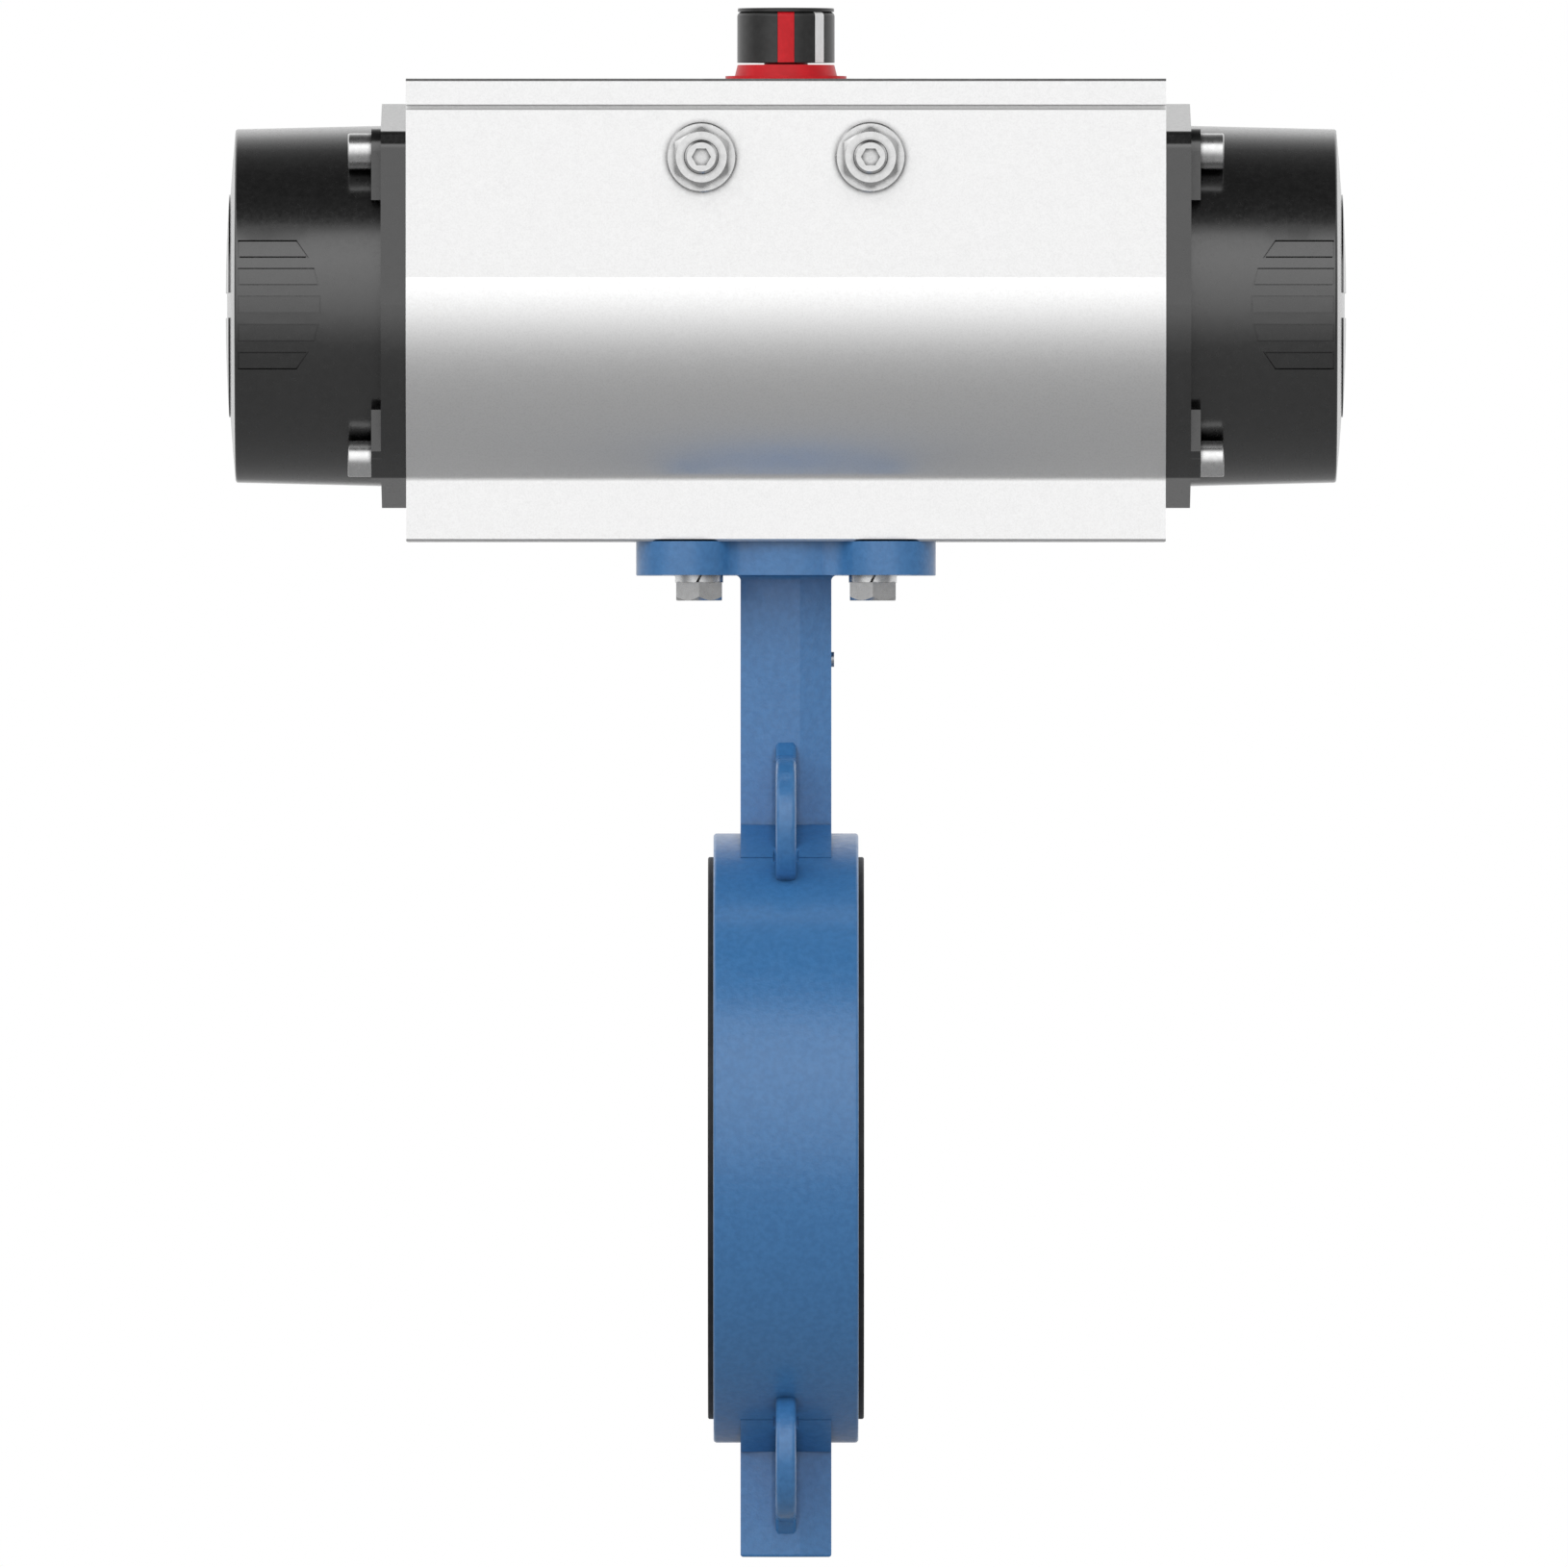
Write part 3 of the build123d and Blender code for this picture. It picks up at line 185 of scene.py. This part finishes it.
# ---------------------------------------------------------------- valve body
# The wafer body is one iron casting with its neck, top flange, boss and lugs. It is machined on
# the flange and in the bores, then sprayed with blue epoxy that leaves a fine orange peel.

BLUE_DEEP = (0.047, 0.204, 0.490)
BLUE = (0.058, 0.236, 0.550)

def noise_of(material, size, detail=3.0, stretch=(1, 1, 1)):
    # a noise whose features are about size metres across, stretched along the axes asked for
    nodes, links = material.node_tree.nodes, material.node_tree.links
    place = nodes.new("ShaderNodeTexCoord")
    mapping = nodes.new("ShaderNodeMapping")
    mapping.inputs["Scale"].default_value = [1 / s for s in stretch]
    noise = nodes.new("ShaderNodeTexNoise")
    noise.inputs["Scale"].default_value = 1 / size
    noise.inputs["Detail"].default_value = detail
    links.new(place.outputs["Object"], mapping.inputs["Vector"])
    links.new(mapping.outputs["Vector"], noise.inputs["Vector"])
    return noise.outputs["Fac"]


def tint(material, noise, dark, light, low=0.35, high=0.65):
    nodes, links = material.node_tree.nodes, material.node_tree.links
    ramp = ramp_of(nodes, [(low, dark), (high, light)])
    links.new(noise, ramp.inputs["Fac"])
    links.new(ramp.outputs["Color"], shader_of(material).inputs["Base Color"])


def vary_roughness(material, noise, low, high):
    nodes, links = material.node_tree.nodes, material.node_tree.links
    span = nodes.new("ShaderNodeMapRange")
    span.inputs["From Min"].default_value = 0.3
    span.inputs["From Max"].default_value = 0.7
    span.inputs["To Min"].default_value = low
    span.inputs["To Max"].default_value = high
    links.new(noise, span.inputs["Value"])
    links.new(span.outputs["Result"], shader_of(material).inputs["Roughness"])


def roughen(material, noise, depth, strength=1.0, after=None):
    # bump of the given depth in metres, laid on any earlier bump
    nodes, links = material.node_tree.nodes, material.node_tree.links
    bump = nodes.new("ShaderNodeBump")
    bump.inputs["Distance"].default_value = depth
    bump.inputs["Strength"].default_value = strength
    links.new(noise, bump.inputs["Height"])
    if after is not None:
        links.new(after.outputs["Normal"], bump.inputs["Normal"])
    links.new(bump.outputs["Normal"], shader_of(material).inputs["Normal"])
    return bump


def paint_crevice_shade(material, reach, deepest):
    # painted shade: the base colour is darkened in the corners that lie within reach metres of
    # another surface, where shadow falls
    nodes, links = material.node_tree.nodes, material.node_tree.links
    base = shader_of(material).inputs["Base Color"]
    nearby = nodes.new("ShaderNodeAmbientOcclusion")
    nearby.inputs["Distance"].default_value = reach
    nearby.samples = 8
    shade = ramp_of(nodes, [(0.25, grey(deepest)), (0.85, grey(1.0))])
    links.new(nearby.outputs["AO"], shade.inputs["Fac"])
    both = nodes.new("ShaderNodeMix")
    both.data_type = "RGBA"
    both.blend_type = "MULTIPLY"
    both.inputs["Factor"].default_value = 1.0
    links.new(base.links[0].from_socket, both.inputs["A"])
    links.new(shade.outputs["Color"], both.inputs["B"])
    links.new(both.outputs["Result"], base)


def coat(material, *names):
    for name in names:
        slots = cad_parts[name].data.materials
        slots.clear()
        slots.append(material)


blue_paint = new_finish("blue_epoxy_on_casting", BLUE, 0.36)
tint(blue_paint, noise_of(blue_paint, 0.0022, 2.0), BLUE_DEEP, BLUE)
vary_roughness(blue_paint, noise_of(blue_paint, 0.004), 0.32, 0.42)
cast_bump = roughen(blue_paint, noise_of(blue_paint, 0.0026, 2.0), 0.00022, 0.6)
roughen(blue_paint, noise_of(blue_paint, 0.0009), 0.00010, 0.7, cast_bump)
# painted shade: the blue is darkened in corners and where lugs, neck, flange and ring meet
paint_crevice_shade(blue_paint, 0.005, 0.5)
shader_of(blue_paint).inputs["Specular IOR Level"].default_value = 0.7
shader_of(blue_paint).inputs["Coat Weight"].default_value = 0.3
shader_of(blue_paint).inputs["Coat Roughness"].default_value = 0.15
coat(blue_paint, "valve_body")

# ---------------------------------------------------------------- seat liner
# A moulded rubber sleeve lines the bore and folds over both faces, where it seals on the pipe
# flanges. It is matt black, a little dusty, with two thin moulded grooves in each face.

liner_rubber = new_finish("moulded_rubber", grey(0.025), 0.6)
tint(liner_rubber, noise_of(liner_rubber, 0.006), grey(0.018), grey(0.036))
roughen(liner_rubber, noise_of(liner_rubber, 0.0008), 0.0001, 0.5)
coat(liner_rubber, "seat_liner", "stem_seals", "pinion_seals", "left_piston_seal",
     "right_piston_seal", "left_cap_seal", "right_cap_seal")

# ---------------------------------------------------------------- disc and stems
# The disc is a stainless casting, polished at its rim. Two ground stems carry it, held by pins
# that are drilled through the hub and dressed flush.

disc_steel = new_finish("polished_stainless_casting", grey(0.62), 0.32, 1.0)
vary_roughness(disc_steel, noise_of(disc_steel, 0.008), 0.24, 0.42)
roughen(disc_steel, noise_of(disc_steel, 0.0025), 0.00015, 0.4)
coat(disc_steel, "disc")

ground_steel = new_finish("ground_steel", grey(0.56), 0.25, 1.0)
vary_roughness(ground_steel, noise_of(ground_steel, 0.0012, 2.0, (1, 1, 0.1)), 0.18, 0.34)
coat(ground_steel, "upper_stem", "lower_stem", "disc_pins", "pinion", "stop_cam")

# ---------------------------------------------------------------- bushes and bearings
# The stem runs in sintered bronze bushes pressed into the neck. The pinion and the pistons
# run on moulded acetal rings and pads, and an acetal ring centres the actuator.

bronze = new_finish("sintered_bronze", (0.42, 0.25, 0.10), 0.45, 1.0)
tint(bronze, noise_of(bronze, 0.0015), (0.34, 0.20, 0.08), (0.46, 0.29, 0.13))
coat(bronze, "lower_neck_bush", "upper_neck_bush", "bottom_bush", "bottom_thrust_pad")

acetal = new_finish("acetal", (0.78, 0.76, 0.68), 0.45)
tint(acetal, noise_of(acetal, 0.01), (0.72, 0.70, 0.62), (0.80, 0.78, 0.71))
coat(acetal, "pinion_lower_bearing", "pinion_upper_bearing", "thrust_washer", "centring_ring",
     "left_piston_band", "right_piston_band", "left_rack_pad", "right_rack_pad")

# ---------------------------------------------------------------- fasteners
# Stainless cap screws, flange bolts with spring washers, and the stop screws with their nuts
# and washers: turned bright, with fine lathe marks.

stainless = new_finish("stainless_fastener", grey(0.72), 0.28, 1.0)
tint(stainless, noise_of(stainless, 0.002), grey(0.68), grey(0.75))
vary_roughness(stainless, noise_of(stainless, 0.0012), 0.25, 0.33)
roughen(stainless, noise_of(stainless, 0.0007, 2.0), 0.00001, 0.4)
# painted shade: dark outlines where heads, nuts and washers meet other surfaces
paint_crevice_shade(stainless, 0.0022, 0.08)
coat(stainless, "flange_bolts", "flange_spring_washers", "left_cap_screws", "right_cap_screws",
     "stop_screws", "stop_nuts", "stop_washers")

zinc = new_finish("zinc_plate", grey(0.6), 0.35, 1.0)
tint(zinc, noise_of(zinc, 0.002), grey(0.5), grey(0.65))
coat(zinc, "stem_retaining_pin", "stem_circlip", "pinion_circlip", "indicator_screw")

# ---------------------------------------------------------------- actuator body
# An aluminium extrusion, bored through for the pistons, bead blasted and clear anodised, which
# leaves a fine even sparkle.

ALUMINIUM_BRIGHT = 0.95
ALUMINIUM_DULL = 0.89

anodised = new_finish("blasted_anodised_aluminium", grey(ALUMINIUM_BRIGHT), 0.38, 1.0)
blasted = noise_of(anodised, 0.0006, 2.0)
tint(anodised, blasted, grey(ALUMINIUM_DULL), grey(ALUMINIUM_BRIGHT), 0.32, 0.58)
vary_roughness(anodised, noise_of(anodised, 0.0012, 2.0), 0.34, 0.42)
roughen(anodised, noise_of(anodised, 0.0007, 2.0), 0.00003, 0.5)
# painted shade: the aluminium is darkened in its groove and corners
paint_crevice_shade(anodised, 0.003, 0.12)
coat(anodised, "actuator_body")

# ---------------------------------------------------------------- pistons and springs
# Die-cast aluminium pistons with racks. Five coated steel springs a side are wound from wire
# and stand on a black nylon retainer.

piston_cast = new_finish("die_cast_aluminium", grey(0.62), 0.42, 1.0)
tint(piston_cast, noise_of(piston_cast, 0.004), grey(0.54), grey(0.66))
coat(piston_cast, "left_piston", "right_piston")

SPRING_WIRE = 0.0040
SPRING_MEAN_R = 0.011
SPRING_COILS = 8
SPRING_CIRCLE_R = 0.031
SPRINGS_A_SIDE = 5
STEPS_A_COIL = 20
SPRING_END_GAP = 0.0003

spring_coating = new_finish("spring_epoxy", (0.03, 0.035, 0.05), 0.4)
tint(spring_coating, noise_of(spring_coating, 0.002), (0.024, 0.028, 0.042), (0.036, 0.042, 0.060))
roughen(spring_coating, noise_of(spring_coating, 0.001), 0.00005, 0.5)


def wind_springs(node):
    # each spring is one wire section wound about the X axis, at its place round the piston
    low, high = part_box(node)
    middle = (low[2] + high[2]) / 2
    start = low[0] + SPRING_WIRE / 2 + SPRING_END_GAP
    length = high[0] - low[0] - SPRING_WIRE - 2 * SPRING_END_GAP
    steps = SPRING_COILS * STEPS_A_COIL
    wound = bmesh.new()
    for index in range(SPRINGS_A_SIDE):
        turn = math.radians(90 + 360 / SPRINGS_A_SIDE * index)
        across, up = SPRING_CIRCLE_R * math.cos(turn), SPRING_CIRCLE_R * math.sin(turn)
        centre = Vector((start, across, middle + up))
        place = Matrix.Translation(centre + Vector((0, SPRING_MEAN_R, 0)))
        section = bmesh.ops.create_circle(
            wound, segments=10, radius=SPRING_WIRE / 2, matrix=place)["verts"]
        ring = list({edge for vert in section for edge in vert.link_edges})
        end = bmesh.ops.spin(
            wound, geom=ring, cent=centre, axis=(1, 0, 0), dvec=(length / steps, 0, 0),
            angle=math.tau * SPRING_COILS, steps=steps)["geom_last"]
        last = [part for part in end if isinstance(part, bmesh.types.BMEdge)]
        bmesh.ops.edgenet_fill(wound, edges=ring)
        bmesh.ops.edgenet_fill(wound, edges=last)
    bmesh.ops.recalc_face_normals(wound, faces=wound.faces)
    for face in wound.faces:
        face.smooth = True
    mesh = bpy.data.meshes.new("wound_" + node)
    wound.to_mesh(mesh)
    wound.free()
    springs = new_object("wound_" + node, mesh)
    springs.data.materials.append(spring_coating)
    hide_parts(node)
    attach(springs, "housing")
    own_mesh(springs)


wind_springs("left_springs")
wind_springs("right_springs")

black_nylon = new_finish("black_nylon", grey(0.03), 0.5)
roughen(black_nylon, noise_of(black_nylon, 0.0006), 0.00003, 0.5)
coat(black_nylon, "left_spring_retainer", "right_spring_retainer")

# ---------------------------------------------------------------- end caps
# Die-cast aluminium caps, powder coated gloss black. Each is held by four cap screws and
# closes one end of the spring chamber.

gloss_black = new_finish("gloss_black_coat", grey(0.010), 0.24)
tint(gloss_black, noise_of(gloss_black, 0.003), grey(0.008), grey(0.013))
vary_roughness(gloss_black, noise_of(gloss_black, 0.0015), 0.20, 0.28)
roughen(gloss_black, noise_of(gloss_black, 0.0025), 0.00002, 0.4)
# painted shade: the black is darkened in the grip pockets and round the screw heads
paint_crevice_shade(gloss_black, 0.003, 0.2)
shader_of(gloss_black).inputs["Specular IOR Level"].default_value = 1.0
shader_of(gloss_black).inputs["Coat Weight"].default_value = 0.5
shader_of(gloss_black).inputs["Coat Roughness"].default_value = 0.12
coat(gloss_black, "left_end_cap", "right_end_cap")

# ---------------------------------------------------------------- position indicator
# A moulded red hub with a black shell round it. Red ribs and white inserts show through the
# shell's slots, and the whole thing turns with the pinion.

indicator_red = new_finish("indicator_red", (0.56, 0.022, 0.030), 0.35)
tint(indicator_red, noise_of(indicator_red, 0.004), (0.66, 0.012, 0.020), (0.74, 0.016, 0.026))
shader_of(indicator_red).inputs["Specular IOR Level"].default_value = 0.25
coat(indicator_red, "indicator_core")

indicator_white = new_finish("indicator_white", grey(0.85), 0.4)
tint(indicator_white, noise_of(indicator_white, 0.004), grey(0.94), grey(0.99))
shader_of(indicator_white).inputs["Coat Weight"].default_value = 0.8
shader_of(indicator_white).inputs["Specular IOR Level"].default_value = 1.0
coat(indicator_white, "indicator_inserts")

indicator_black = new_finish("indicator_black", grey(0.03), 0.30)
tint(indicator_black, noise_of(indicator_black, 0.003), grey(0.020), grey(0.028))
roughen(indicator_black, noise_of(indicator_black, 0.0006), 0.00002, 0.5)
coat(indicator_black, "indicator_shell", "indicator_lid")
